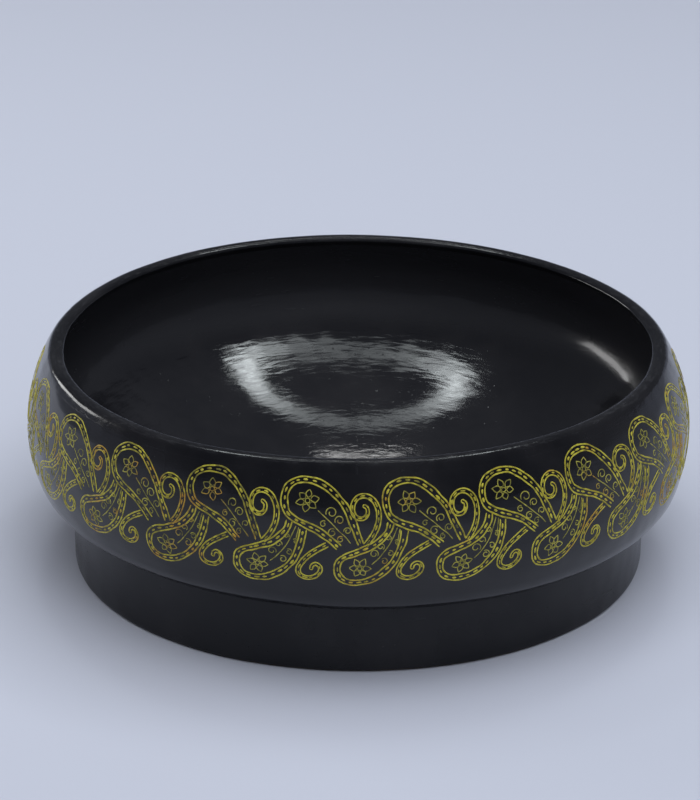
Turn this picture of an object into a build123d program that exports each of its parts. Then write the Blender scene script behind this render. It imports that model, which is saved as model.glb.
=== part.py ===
from build123d import *
import math
import os

# A black-lacquered bowl: a formed core with a dished floor and an incurved rim, a broad foot
# ring glued under it, a binding over the lip, thin coats of lacquer, and a painted band of
# botehs (teardrops with a curled tail) in raised paint round its belly.
# Millimetres, +Z up. The origin is the middle of the foot's resting face.

# Body
belly_radius = 130.0       # widest lacquered radius
belly_height = 55.0        # height of the widest place
bowl_height = 88.4         # top of the lip
rim_inset = 9.5            # how far the lip's outer edge stands in from the belly
wall = 5.6                 # whole wall at the rim, with both coats
lower_curve = 52.0         # profile radius just below the belly
corner_radius = 13.8       # profile radius where the wall turns under
binding_depth = 4.0        # height of the lip binding
lip_round = 2.0            # rounding of the binding's edges

# Floor
floor_height = 15.0        # lacquered floor at its middle, above the table
floor_rise = 32.0          # how much the dished floor climbs towards the wall
floor_inset = 20.0         # how far in from the belly it has climbed that much
inner_corner = 22.0        # radius between the floor and the wall
floor_thickness = 6.0

# Foot
foot_height = 28.2         # underside of the body above the table
foot_inset = 17.1          # how far the foot's outside stands in from the belly
foot_wall = 8.4
foot_edge_round = 1.5
seat_flat = 3.5            # flat of the underside left inside the foot ring
shoulder_lap = 1.0         # the flat shoulder starts this far in from the corner's centre

# Finish
lacquer = 0.5              # thickness of every coat
paint = 0.15               # how far the painted lines stand proud

# Ornament
motif_count = 22
first_upper = 8.3          # degrees from the front to the first upper blossom
drawn_pitch = 37.13        # pitch at which the ornament's outlines are drawn
drawn_rise = 35.2          # wall length, belly to lip, at which they are drawn
drawn_border = 3.1         # widths of the lines, as drawn
drawn_tendril = 1.9
drawn_fine = 0.45
petal_count = 6
curl_turn = 290            # how far a sprig's curl turns back
upper_bloom = 4.4          # petal tip radius
lower_bloom = 4.1
petal_share = 0.62         # a petal's length over its tip radius
petal_slimness = 1.7       # a petal's length over its width
eye_share = 0.31           # the blossom's ring over the petals' tip radius
eye_hole_share = 0.17

# The wall above the belly is one arc that is upright at the belly and ends at the lip's edge.
rim_radius = belly_radius - rim_inset
rim_rise = bowl_height - belly_height
upper_curve = (rim_inset**2 + rim_rise**2) / (2 * rim_inset)
upper_centre = (belly_radius - upper_curve, belly_height)
lower_centre = (belly_radius - lower_curve, belly_height)
seat_height = bowl_height - binding_depth


def meeting(centre_a, radius_a, centre_b, radius_b):
    """The outer of the two points at radius_a from centre_a and radius_b from centre_b."""
    gap_x, gap_z = centre_b[0] - centre_a[0], centre_b[1] - centre_a[1]
    gap = math.hypot(gap_x, gap_z)
    along = (radius_a**2 - radius_b**2 + gap**2) / (2 * gap)
    across = math.sqrt(radius_a**2 - along**2)
    ux, uz = gap_x / gap, gap_z / gap
    return (
        centre_a[0] + along * ux + across * abs(uz),
        centre_a[1] + along * uz - across * ux * math.copysign(1, uz),
    )


def heading(start, end):
    """Angle in degrees of the line from start to end."""
    return math.degrees(math.atan2(end[1] - start[1], end[0] - start[0]))


# The corner arc is tangent to the lower wall and to the flat underside.
corner_drop = belly_height - foot_height - corner_radius
corner_centre = (
    lower_centre[0] + math.sqrt((lower_curve - corner_radius) ** 2 - corner_drop**2),
    foot_height + corner_radius,
)
lower_turn = heading(lower_centre, corner_centre)

# The inner corner is tangent to the dished floor and to the inner wall.
inner_curve = upper_curve - wall
floor_reach = belly_radius - floor_inset
floor_curve = (floor_reach**2 + floor_rise**2) / (2 * floor_rise)
floor_centre = (0, floor_height + floor_curve)
inner_centre = meeting(
    upper_centre, inner_curve - inner_corner, floor_centre, floor_curve - inner_corner
)
inner_turn = heading(upper_centre, inner_centre)
floor_turn = heading(floor_centre, inner_centre)

# The dished underside and the flat shoulder that the foot is glued to.
shoulder_height = foot_height + lacquer
foot_radius = belly_radius - foot_inset
foot_core_radius = foot_radius - lacquer
foot_inner_radius = foot_core_radius - foot_wall
under_middle = floor_height - floor_thickness
dish_radius = foot_inner_radius - seat_flat
dish_depth = shoulder_height - under_middle
under_curve = (dish_radius**2 + dish_depth**2) / (2 * dish_depth)
under_centre = (0, under_middle + under_curve)


def rise_angle(centre, radius, height):
    """Angle at which a circle's outer side reaches a height."""
    return math.degrees(math.asin((height - centre[1]) / radius))


def outer_line(depth):
    """Wall outline from the binding's seat down to the underside, depth inside the lacquer."""
    top = rise_angle(upper_centre, upper_curve - depth, seat_height)
    CenterArc(upper_centre, upper_curve - depth, top, -top)
    CenterArc(lower_centre, lower_curve - depth, 0, lower_turn)
    CenterArc(corner_centre, corner_radius - depth, lower_turn, -90 - lower_turn)


def inner_line(depth):
    """Inside outline from the seat down to the floor's middle, depth inside the lacquer."""
    top = rise_angle(upper_centre, inner_curve + depth, seat_height)
    CenterArc(upper_centre, inner_curve + depth, top, inner_turn - top)
    CenterArc(inner_centre, inner_corner + depth, inner_turn, floor_turn - inner_turn)
    CenterArc(floor_centre, floor_curve + depth, floor_turn, -90 - floor_turn)


def under_line(drop, start_radius):
    """Underside outline from start_radius inwards: the flat shoulder, then the dish."""
    height = shoulder_height - drop
    curve = under_curve + drop
    edge = math.sqrt(curve**2 - (under_centre[1] - height) ** 2)
    turn = heading(under_centre, (edge, height))
    Line((start_radius, height), (edge, height))
    CenterArc(under_centre, curve, turn, -90 - turn)


def close(start, *ends):
    """Straight lines from point to point."""
    for end in ends:
        Line(start, end)
        start = end


def outer_end(depth, at_seat=True):
    """An end of the outer outline: at the binding's seat, or at the underside."""
    if not at_seat:
        return (corner_centre[0], foot_height + depth)
    radius = upper_curve - depth
    rise = seat_height - belly_height
    return (upper_centre[0] + math.sqrt(radius**2 - rise**2), seat_height)


def inner_end(depth):
    """The inside outline's end at the binding's seat."""
    radius = inner_curve + depth
    rise = seat_height - belly_height
    return (upper_centre[0] + math.sqrt(radius**2 - rise**2), seat_height)


# Core: one formed shell, from the binding's seat to the dished floor.
with BuildPart() as bowl_core:
    with BuildSketch(Plane.XZ):
        with BuildLine():
            outer_line(lacquer)
            shoulder_start = corner_centre[0] - shoulder_lap
            close(outer_end(lacquer, at_seat=False), (shoulder_start, shoulder_height))
            under_line(0, shoulder_start)
            close((0, under_middle), (0, floor_height - lacquer))
            inner_line(lacquer)
            close(inner_end(lacquer), outer_end(lacquer))
        make_face()
    revolve(axis=Axis.Z)
bowl_core.part.label = "bowl_core"

# Lip binding: a hoop over the wall's top edge, as wide as the wall with its coats.
with BuildPart() as lip_binding:
    with BuildSketch(Plane.XZ):
        with BuildLine():
            seat_turn = rise_angle(upper_centre, upper_curve, seat_height)
            rim_turn = rise_angle(upper_centre, upper_curve, bowl_height)
            CenterArc(upper_centre, upper_curve, seat_turn, rim_turn - seat_turn)
            inner_seat_turn = rise_angle(upper_centre, inner_curve, seat_height)
            inner_rim_turn = rise_angle(upper_centre, inner_curve, bowl_height)
            inner_arc = CenterArc(
                upper_centre, inner_curve, inner_rim_turn, inner_seat_turn - inner_rim_turn
            )
            close((rim_radius, bowl_height), inner_arc @ 0)
            close(inner_arc @ 1, outer_end(0))
        make_face()
    revolve(axis=Axis.Z)
    fillet(lip_binding.edges().group_by(Axis.Z)[-1], lip_round)
lip_binding.part.label = "lip_binding"

# Foot: a broad ring glued under the flat shoulder.
with BuildPart() as foot_ring:
    with BuildSketch():
        Circle(foot_core_radius)
        Circle(foot_inner_radius, mode=Mode.SUBTRACT)
    extrude(amount=shoulder_height)
    fillet(foot_ring.edges().group_by(Axis.Z)[0], foot_edge_round)
foot_ring.part.label = "foot_ring"

# Lacquer coats.
with BuildPart() as outer_lacquer:
    with BuildSketch(Plane.XZ):
        with BuildLine():
            outer_line(0)
            outer_line(lacquer)
            close(outer_end(0), outer_end(lacquer))
            close(
                outer_end(0, at_seat=False),
                (foot_core_radius, foot_height),
                (foot_core_radius, shoulder_height),
                outer_end(lacquer, at_seat=False),
            )
        make_face()
    revolve(axis=Axis.Z)
outer_lacquer.part.label = "outer_lacquer"

with BuildPart() as inner_lacquer:
    with BuildSketch(Plane.XZ):
        with BuildLine():
            inner_line(0)
            inner_line(lacquer)
            close(inner_end(0), inner_end(lacquer))
            close((0, floor_height), (0, floor_height - lacquer))
        make_face()
    revolve(axis=Axis.Z)
inner_lacquer.part.label = "inner_lacquer"

with BuildPart() as foot_lacquer:
    with BuildSketch(Plane.XY.offset(foot_edge_round)):
        Circle(foot_radius)
        Circle(foot_core_radius, mode=Mode.SUBTRACT)
    extrude(amount=foot_height - foot_edge_round)
foot_lacquer.part.label = "foot_lacquer"

with BuildPart() as recess_lacquer:
    with BuildSketch(Plane.XZ):
        with BuildLine():
            under_line(0, foot_inner_radius)
            under_line(lacquer, foot_inner_radius - lacquer)
            close(
                (foot_inner_radius, shoulder_height),
                (foot_inner_radius, foot_edge_round),
                (foot_inner_radius - lacquer, foot_edge_round),
                (foot_inner_radius - lacquer, foot_height),
            )
            close(
                (0, under_middle),
                (0, under_middle - lacquer),
            )
        make_face()
    revolve(axis=Axis.Z)
recess_lacquer.part.label = "recess_lacquer"

# The skin that every painted line is cut from.
with BuildPart() as paint_skin:
    with BuildSketch(Plane.XZ):
        with BuildLine():
            outer_line(-paint)
            outer_line(0)
            close(outer_end(-paint), outer_end(0))
            close(outer_end(-paint, at_seat=False), outer_end(0, at_seat=False))
        make_face()
    revolve(axis=Axis.Z)

# The ornament is drawn flat on a plane in front of the belly and pressed on to the wall.
drawing_gap = 2.0
drawing_reach = belly_radius / 5
front = Plane(
    origin=(0, -belly_radius - drawing_gap, 0), x_dir=(1, 0, 0), z_dir=(0, -1, 0)
)
pitch = 2 * math.pi * belly_radius / motif_count
line_scale = min(1, pitch / drawn_pitch)
border_width = drawn_border * line_scale
tendril_width = drawn_tendril * line_scale
fine_line = drawn_fine * line_scale
rise = upper_curve * math.asin(rim_rise / upper_curve)


def on_wall(along, up):
    """A drawn point on the flat plane: along the belly, and up the wall from the belly."""
    arc = up * rise / drawn_rise
    curve = upper_curve if arc > 0 else lower_curve
    radius = belly_radius - curve * (1 - math.cos(arc / curve))
    turn = along * pitch / drawn_pitch / belly_radius
    return (radius * math.sin(turn), belly_height + curve * math.sin(arc / curve))


def stroke(points, width):
    """A painted line of one width through drawn points."""
    with BuildLine() as path:
        Spline(*[on_wall(*point) for point in points])
    trace(path.line, line_width=width)


def bloom(centre, reach):
    """A blossom of pointed petals round a small open middle."""
    middle = on_wall(*centre)
    petal = reach * petal_share / 2
    with Locations(middle):
        with PolarLocations(reach - petal, petal_count):
            Ellipse(petal, petal / petal_slimness)
        Circle(reach * eye_share)
        Circle(reach * eye_hole_share, mode=Mode.SUBTRACT)


def sprig(stem, curls):
    """A fine stem with curls that each start on it and turn back."""
    stroke(stem, fine_line)
    for along, up, radius, start in curls:
        root = on_wall(along, up)
        middle = (
            root[0] - radius * math.cos(math.radians(start)),
            root[1] - radius * math.sin(math.radians(start)),
        )
        with BuildLine() as curl:
            CenterArc(middle, radius, start, curl_turn)
        trace(curl.line, line_width=fine_line)


def press():
    """Push the drawing through the skin and keep what lies in it."""
    extrude(amount=-drawing_reach)
    add(paint_skin.part, mode=Mode.INTERSECT)


upper_boteh_line = [
    (11.6, 3.9), (4.1, 9.9), (-4.6, 13.9), (-8.4, 18.9), (-7.2, 25.8), (0.4, 28.5),
    (7.3, 25.6), (13.1, 19.3), (17.0, 11.3), (18.9, 7.0),
]
lower_boteh_line = [
    (-6.8, 11.3), (-9.6, 7.4), (-15.6, 3.4), (-23.2, 0.4), (-26.2, -4.3), (-24.0, -9.6),
    (-17.5, -10.6), (-10.5, -7.6), (-5.2, -2.0), (-2.4, 5.1), (-1.8, 8.5),
]
upper_tendril_line = [
    (-14.2, 7.4), (-12.1, 11.8), (-11.7, 15.5), (-12.4, 19.1), (-14.0, 21.5), (-16.2, 22.7),
    (-18.3, 22.5), (-19.9, 21.0), (-20.5, 18.7), (-19.8, 16.7), (-18.0, 15.6), (-16.6, 16.2),
    (-16.2, 17.7),
]
lower_tendril_line = [
    (5.6, 3.9), (0.6, 0.5), (-1.8, -2.2), (-3.2, -5.1), (-2.9, -7.4), (-1.2, -8.7),
    (1.0, -8.7), (3.3, -7.5), (4.8, -5.7), (4.7, -3.8), (3.0, -2.8), (1.8, -3.7),
]
upper_stem = [(4.8, 16.4), (9.0, 12.6), (11.5, 10.1), (14.0, 8.0), (15.4, 6.0)]
upper_curls = [(6.2, 15.2, 1.6, 225), (9.4, 12.2, 1.5, 225), (12.6, 9.2, 1.2, 225), (10.2, 11.3, 1.2, 45)]
lower_stem = [(-12.2, -1.9), (-9.4, 1.3), (-7.3, 4.3), (-6.0, 8.0)]
lower_curls = [(-10.9, -0.5, 1.4, 315), (-8.6, 2.4, 1.2, 315), (-10.2, 0.3, 1.1, 135)]

with BuildPart() as upper_boteh:
    with BuildSketch(front):
        stroke(upper_boteh_line, border_width)
    press()

with BuildPart() as lower_boteh:
    with BuildSketch(front):
        stroke(lower_boteh_line, border_width)
    press()

with BuildPart() as upper_tendril:
    with BuildSketch(front):
        stroke(upper_tendril_line, tendril_width)
    press()

with BuildPart() as lower_tendril:
    with BuildSketch(front):
        stroke(lower_tendril_line, tendril_width)
    press()

with BuildPart() as upper_blossom:
    with BuildSketch(front):
        bloom((0, 20.9), upper_bloom)
    press()

with BuildPart() as lower_blossom:
    with BuildSketch(front):
        bloom((-17.9, -4.5), lower_bloom)
    press()

with BuildPart() as upper_sprig:
    with BuildSketch(front):
        sprig(upper_stem, upper_curls)
    press()

with BuildPart() as lower_sprig:
    with BuildSketch(front):
        sprig(lower_stem, lower_curls)
    press()

motifs = {
    "upper_botehs": upper_boteh,
    "lower_botehs": lower_boteh,
    "upper_tendrils": upper_tendril,
    "lower_tendrils": lower_tendril,
    "upper_blossoms": upper_blossom,
    "lower_blossoms": lower_blossom,
    "upper_sprigs": upper_sprig,
    "lower_sprigs": lower_sprig,
}
pieces = [
    bowl_core, lip_binding, foot_ring, outer_lacquer, inner_lacquer, foot_lacquer, recess_lacquer,
]
for name, motif in motifs.items():
    with BuildPart() as motif_ring:
        with PolarLocations(0, motif_count, start_angle=first_upper):
            add(motif.part)
    motif_ring.part.label = name
    pieces.append(motif_ring)

os.makedirs("parts", exist_ok=True)
for piece in pieces:
    export_step(piece.part, f"parts/{piece.part.label}.step", write_pcurves=False)
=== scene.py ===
"""A black-lacquered bowl on a broad foot ring, with a band of botehs painted round its belly.

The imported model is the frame. Every piece of the bowl is a surface worked out with numpy, in
metres, in the frame's own axes: +Z up, -Y towards the onlooker, the foot's middle at the origin.
"""

import logging
from dataclasses import dataclass, field
from enum import Enum

import bpy
import numpy as np
from mathutils import Matrix, Vector


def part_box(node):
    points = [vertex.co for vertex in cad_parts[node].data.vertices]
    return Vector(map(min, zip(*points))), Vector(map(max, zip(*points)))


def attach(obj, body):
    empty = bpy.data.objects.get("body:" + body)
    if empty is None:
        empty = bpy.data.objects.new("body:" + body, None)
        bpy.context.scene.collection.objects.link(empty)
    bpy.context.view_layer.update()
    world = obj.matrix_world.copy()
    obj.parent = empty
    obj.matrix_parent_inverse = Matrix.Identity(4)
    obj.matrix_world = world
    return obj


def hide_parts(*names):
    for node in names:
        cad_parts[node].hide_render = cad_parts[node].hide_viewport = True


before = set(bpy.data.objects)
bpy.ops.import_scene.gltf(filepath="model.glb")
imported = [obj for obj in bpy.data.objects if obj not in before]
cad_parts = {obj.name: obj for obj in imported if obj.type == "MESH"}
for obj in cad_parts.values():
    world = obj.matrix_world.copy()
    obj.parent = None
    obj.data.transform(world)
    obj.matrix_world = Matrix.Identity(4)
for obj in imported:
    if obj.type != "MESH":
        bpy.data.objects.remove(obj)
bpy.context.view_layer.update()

MM = 0.001
LOG = logging.getLogger("bowl")

Points = np.ndarray


class Slot(Enum):
    """The record's material slots."""

    CORE = "core"
    LACQUER = "black_lacquer"
    LIP = "lip_lacquer"
    GOLD = "gold_paint"
    FINE = "fine_gold_paint"


# ---------------------------------------------------------------- shader tools


class Wire:
    """A shader socket that adds Math nodes when it is used in an expression."""

    def __init__(self, bench: "Bench", socket: bpy.types.NodeSocket) -> None:
        """Keep the bench that adds nodes and the socket that this wire starts from."""
        self.bench = bench
        self.socket = socket

    def _math(self, operation: str, *values: "Wire | float") -> "Wire":
        """Add one Math node.

        Args:
            operation: the node's operation.
            values: its inputs, in order.

        Returns:
            The node's result.
        """
        node = self.bench.node("ShaderNodeMath", {"operation": operation}, dict(enumerate(values)))
        return Wire(self.bench, node.outputs[0])

    def __add__(self, other: "Wire | float") -> "Wire":
        """Sum."""
        return self._math("ADD", self, other)

    def __radd__(self, other: float) -> "Wire":
        """Sum, with the number first."""
        return self._math("ADD", other, self)

    def __sub__(self, other: "Wire | float") -> "Wire":
        """Difference."""
        return self._math("SUBTRACT", self, other)

    def __rsub__(self, other: float) -> "Wire":
        """Difference, with the number first."""
        return self._math("SUBTRACT", other, self)

    def __mul__(self, other: "Wire | float") -> "Wire":
        """Product."""
        return self._math("MULTIPLY", self, other)

    def __rmul__(self, other: float) -> "Wire":
        """Product, with the number first."""
        return self._math("MULTIPLY", other, self)

    def step(self, low: float, high: float) -> "Wire":
        """Rise smoothly from 0 at low to 1 at high.

        Args:
            low: where the rise starts.
            high: where it ends; below low, the rise is a fall.

        Returns:
            The smoothed value.
        """
        node = self.bench.node(
            "ShaderNodeMapRange",
            {"interpolation_type": "SMOOTHSTEP"},
            {"Value": self, "From Min": low, "From Max": high, "To Min": 0.0, "To Max": 1.0},
        )
        return Wire(self.bench, node.outputs[0])


class Bench:
    """One material's node tree, with a method for each way of adding to it."""

    def __init__(self, name: str) -> None:
        """Start an empty material of that name."""
        self.material = bpy.data.materials.new(name)
        self.material.use_nodes = True
        self.tree = self.material.node_tree
        self.tree.nodes.clear()

    def node(self, kind: str, settings: dict | None = None,
             inputs: dict | None = None) -> bpy.types.Node:
        """Add a node, set it, then fill its inputs.

        Args:
            kind: the node's type.
            settings: its attributes.
            inputs: by socket name or number, a wire, a socket or a constant.

        Returns:
            The node.
        """
        node = self.tree.nodes.new(kind)
        for name, value in (settings or {}).items():
            setattr(node, name, value)
        for name, value in (inputs or {}).items():
            if isinstance(value, Wire):
                self.tree.links.new(value.socket, node.inputs[name])
            elif isinstance(value, bpy.types.NodeSocket):
                self.tree.links.new(value, node.inputs[name])
            else:
                node.inputs[name].default_value = value
        return node

    def place(self) -> bpy.types.NodeSocket:
        """The point on the piece, in metres."""
        return self.node("ShaderNodeTexCoord").outputs["Object"]

    def height(self) -> Wire:
        """The point's height above the table, in metres."""
        return Wire(self, self.node("ShaderNodeSeparateXYZ", None, {0: self.place()}).outputs["Z"])

    def attribute(self, name: str) -> Wire:
        """A number kept on the piece's own mesh."""
        node = self.node("ShaderNodeAttribute", {"attribute_name": name})
        return Wire(self, node.outputs["Fac"])

    def stretched(self, scale: tuple, turn: tuple) -> bpy.types.NodeSocket:
        """The point, turned and stretched by scale, for patterns that run in one direction."""
        settings = {"Vector": self.place(), "Rotation": turn, "Scale": scale}
        return self.node("ShaderNodeMapping", None, settings).outputs[0]

    def round_the_bowl(self, turns: float, fine: float) -> bpy.types.NodeSocket:
        """The point in a space where patterns are drawn out along the bowl's circles.

        The angle about the axis is kept as a point on a circle of radius turns, and the distance
        along the profile, kept on the mesh, is multiplied by fine.

        Args:
            turns: how fast the pattern changes along the circles.
            fine: how fast it changes across them, per metre.

        Returns:
            The vector.
        """
        angle = self.attribute("angle")
        across = self.attribute("across")
        joined = self.node(
            "ShaderNodeCombineXYZ",
            None,
            {
                0: angle._math("COSINE", angle) * turns,
                1: angle._math("SINE", angle) * turns,
                2: across * fine,
            },
        )
        return joined.outputs[0]

    def noise(self, vector: bpy.types.NodeSocket, scale: float, detail: float = 3.0,
              rough: float = 0.5, warp: float = 0.0) -> Wire:
        """Soft noise.

        Args:
            vector: where it is read.
            scale: its scale.
            detail: its octaves.
            rough: how strong the fine octaves are.
            warp: its distortion.

        Returns:
            Values around one half.
        """
        node = self.node(
            "ShaderNodeTexNoise",
            None,
            {"Vector": vector, "Scale": scale, "Detail": detail, "Roughness": rough, "Distortion": warp},
        )
        return Wire(self, node.outputs["Fac"])

    def dots(self, vector: bpy.types.NodeSocket, scale: float) -> Wire:
        """Distance to the nearest of a scatter of points, in cells."""
        node = self.node("ShaderNodeTexVoronoi", None, {"Vector": vector, "Scale": scale})
        return Wire(self, node.outputs["Distance"])

    def blend(self, share: "Wire | float", first, second) -> bpy.types.NodeSocket:
        """Mix two colours.

        Args:
            share: how much of the second.
            first: a colour or a colour socket.
            second: a colour or a colour socket.

        Returns:
            The mixed colour.
        """
        node = self.node("ShaderNodeMix", {"data_type": "RGBA"}, {0: share})
        for number, colour in ((6, first), (7, second)):
            if isinstance(colour, bpy.types.NodeSocket):
                self.tree.links.new(colour, node.inputs[number])
            else:
                node.inputs[number].default_value = (*colour, 1.0)
        return node.outputs[2]

    def finish(self, constants: dict, varying: dict, height: Wire | None = None,
               depth: float = 0.0, strength: float = 1.0) -> bpy.types.Material:
        """Close the tree with the surface shader.

        Args:
            constants: values set on the shader's own sockets.
            varying: links into its sockets.
            height: relief, from 0 to 1.
            depth: the relief's height in metres.
            strength: how much of it shows.

        Returns:
            The material.
        """
        shader = self.node("ShaderNodeBsdfPrincipled", None, {**constants, **varying})
        if height is not None:
            bump = self.node(
                "ShaderNodeBump", None, {"Height": height, "Distance": depth, "Strength": strength}
            )
            self.tree.links.new(bump.outputs[0], shader.inputs["Normal"])
        self.node("ShaderNodeOutputMaterial", None, {"Surface": shader.outputs[0]})
        return self.material


# ---------------------------------------------------------------- finishes


@dataclass(frozen=True)
class BlackLacquer:
    """Hand-brushed black lacquer: a deep gloss with brush ripples, pits, specks and rubbed places, whose
    grey is partly wear and partly painted highlight.
    """

    name: str
    streak: float = 0.00012      # height of the brush ripples, metres
    ripple: float = 0.00025      # height of the soft waves under them
    gloss: float = 0.13          # roughness where it is smooth
    dulled: float = 0.30         # roughness where it is rubbed or thin
    streak_turns: float = 3.0    # how fast the streaks change along the circles
    streak_fine: float = 420.0   # how fast they change across them, per metre
    relief: float = 0.0006       # height that the relief is measured against, metres
    pits: float = 0.35
    rubbed_sheen: float = 0.0          # how much grey shows on the crown: partly wear, partly painted highlight
    wall_dulled: float = 0.0     # roughness added above the dish, where a lighter tone is also painted in as sheen
    mirror: float = 0.42         # how strongly it mirrors
    wax: float = 0.10            # weight of the clear coat over it
    deep: tuple[float, float, float] = (0.0055, 0.0056, 0.0070)
    thin: tuple[float, float, float] = (0.014, 0.0135, 0.015)
    # grey of the rubbed places: partly wear, partly painted highlight
    wear_and_sheen: tuple[float, float, float] = (0.16, 0.16, 0.17)
    # tone above the dish: a painted sheen, lighter than the dish's
    wall_sheen_tone: tuple[float, float, float] = (0.021, 0.021, 0.024)

    def material(self) -> bpy.types.Material:
        """Build the lacquer.

        Returns:
            A material whose relief is brush streaks along the bowl's circles, over soft waves,
            with small pits, and whose gloss is broken where the streaks are rough.
        """
        bench = Bench(self.name)
        here = bench.place()
        circles = bench.round_the_bowl(self.streak_turns, self.streak_fine)
        streaks = bench.noise(circles, 1.0, 3.0, 0.42, 0.3)
        waves = bench.noise(here, 48.0, 2.0, 0.45)
        patch = bench.noise(here, 19.0, 4.0, 0.6)
        pit = bench.dots(here, 330.0).step(0.16, 0.05) * bench.noise(here, 60.0).step(0.52, 0.66)
        grain = bench.noise(here, 2600.0, 2.0)
        height = streaks * (self.streak / self.relief) + waves * (self.ripple / self.relief)
        height = height - pit * (0.18 * self.pits) + grain * 0.012
        rough_places = (streaks.step(0.56, 0.80) * 0.5 + patch.step(0.52, 0.72) * 0.5)
        roughness = self.gloss + (self.dulled - self.gloss) * rough_places + 0.10 * pit
        specks = bench.dots(here, 520.0).step(0.10, 0.03) * bench.noise(here, 90.0).step(0.60, 0.68)
        tone = bench.blend(patch.step(0.38, 0.70), self.deep, self.thin)
        tone = bench.blend(specks * 0.5, tone, (0.09, 0.09, 0.10))
        # Above the dish the wall is rougher, and lighter in colour as a painted sheen.
        if self.wall_dulled:
            wall = bench.height().step(0.047, 0.056)
            roughness = roughness + self.wall_dulled * wall
            tone = bench.blend(wall, tone, self.wall_sheen_tone)
        # Grey rubbed patches on the crown: partly wear, partly painted highlight standing for its broken
        # glints and lighter band.
        if self.rubbed_sheen:
            scuff_and_glint = bench.noise(bench.round_the_bowl(26.0, 900.0), 1.0, 4.0, 0.7)
            edge = bench.attribute("edge")
            rub_and_sheen = edge * scuff_and_glint.step(0.48, 0.66) * self.rubbed_sheen
            tone = bench.blend(rub_and_sheen, tone, self.wear_and_sheen)
            roughness = roughness + 0.12 * rub_and_sheen
        return bench.finish(
            {"IOR": 1.5, "Specular IOR Level": self.mirror, "Coat Roughness": 0.07, "Coat IOR": 1.5},
            {"Base Color": tone, "Roughness": roughness, "Coat Weight": self.wax * (1.0 - rough_places)},
            height, self.relief, 0.85,
        )


@dataclass(frozen=True)
class BrushPaint:
    """Gold-yellow paint laid with a fine brush: thick and bright in places, dry and dull in others."""

    name: str
    body: tuple[float, float, float] = (0.40, 0.335, 0.030)
    bright: tuple[float, float, float] = (0.56, 0.50, 0.055)
    warm: tuple[float, float, float] = (0.47, 0.22, 0.030)
    dull: tuple[float, float, float] = (0.16, 0.155, 0.040)
    under: tuple[float, float, float] = (0.020, 0.020, 0.016)
    dryness: float = 0.5

    def material(self) -> bpy.types.Material:
        """Build the paint.

        Returns:
            A material whose colour follows the load of paint kept along each stroke, turns
            warm in patches, and thins to the lacquer below where the brush ran dry.
        """
        bench = Bench(self.name)
        here = bench.place()
        load = bench.attribute("load")
        glow = bench.attribute("warmth")
        blot = bench.noise(here, 260.0, 4.0, 0.6)
        hair = bench.noise(here, 1500.0, 3.0, 0.65)
        drift = bench.noise(here, 75.0, 3.0, 0.6)
        thick = (load * 0.75 + blot * 0.35).step(0.25, 0.80)
        tone = bench.blend(thick, self.dull, self.body)
        tone = bench.blend((thick * blot).step(0.34, 0.62), tone, self.bright)
        warmed = (glow * 0.5 + (drift - 0.5) * 1.9 + (blot - 0.5) * 0.6).step(0.28, 0.66)
        tone = bench.blend(warmed * 0.75, tone, self.warm)
        dry = (hair * 0.65 + blot * 0.35 + (1.0 - load) * 0.30).step(0.60, 0.80) * self.dryness
        tone = bench.blend(dry, tone, self.under)
        return bench.finish(
            {"IOR": 1.46, "Specular IOR Level": 0.35},
            {"Base Color": tone, "Roughness": 0.62 - 0.22 * thick},
            hair * 0.5 + blot * 0.5, 0.00010, 0.5,
        )


@dataclass(frozen=True)
class BareCore:
    """The core's own stuff, dark with stain: fibrous and matt, seen only on the resting face."""

    name: str = "bare_core"
    pale: tuple[float, float, float] = (0.060, 0.043, 0.030)
    dark: tuple[float, float, float] = (0.018, 0.013, 0.010)

    def material(self) -> bpy.types.Material:
        """Build the core's finish: long fibres, blotches of stain and a matt surface."""
        bench = Bench(self.name)
        here = bench.place()
        fibre = bench.noise(bench.stretched((900.0, 140.0, 900.0), (0, 0, 0.4)), 1.0, 4.0, 0.6)
        blotch = bench.noise(here, 34.0, 4.0, 0.6)
        tone = bench.blend((fibre * 0.5 + blotch * 0.5).step(0.40, 0.62), self.dark, self.pale)
        return bench.finish(
            {"Specular IOR Level": 0.3},
            {"Base Color": tone, "Roughness": 0.70 + 0.2 * blotch},
            fibre * 0.7 + blotch * 0.3, 0.0003, 0.6,
        )


@dataclass(frozen=True)
class PalePaper:
    """The sheet that the bowl stands on, with the faintest tooth."""

    name: str = "pale_paper"
    tone: tuple[float, float, float] = (0.60, 0.618, 0.70)

    def material(self) -> bpy.types.Material:
        """Build the sheet's finish."""
        bench = Bench(self.name)
        tooth = bench.noise(bench.place(), 900.0, 2.0)
        return bench.finish(
            {"Base Color": (*self.tone, 1.0), "Specular IOR Level": 0.2},
            {"Roughness": 0.78 + 0.08 * tooth},
            tooth, 0.0001, 0.2,
        )


# ---------------------------------------------------------------- shapes


def arc(centre: tuple[float, float], radius: float, start: float, end: float, count: int) -> Points:
    """Points on a circle in the profile plane.

    Each point is the centre plus the radius times (cosine, sine) of an angle that goes evenly
    from start to end.

    Args:
        centre: (distance from the axis, height).
        radius: the circle's radius.
        start: first angle in degrees.
        end: last angle in degrees.
        count: how many points.

    Returns:
        An array of count rows.
    """
    turn = np.radians(np.linspace(start, end, count))
    return np.column_stack((centre[0] + radius * np.cos(turn), centre[1] + radius * np.sin(turn)))


def run(start: tuple[float, float], end: tuple[float, float], count: int) -> Points:
    """Evenly spaced points from start to end."""
    share = np.linspace(0.0, 1.0, count)[:, None]
    return np.asarray(start) * (1 - share) + np.asarray(end) * share


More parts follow.
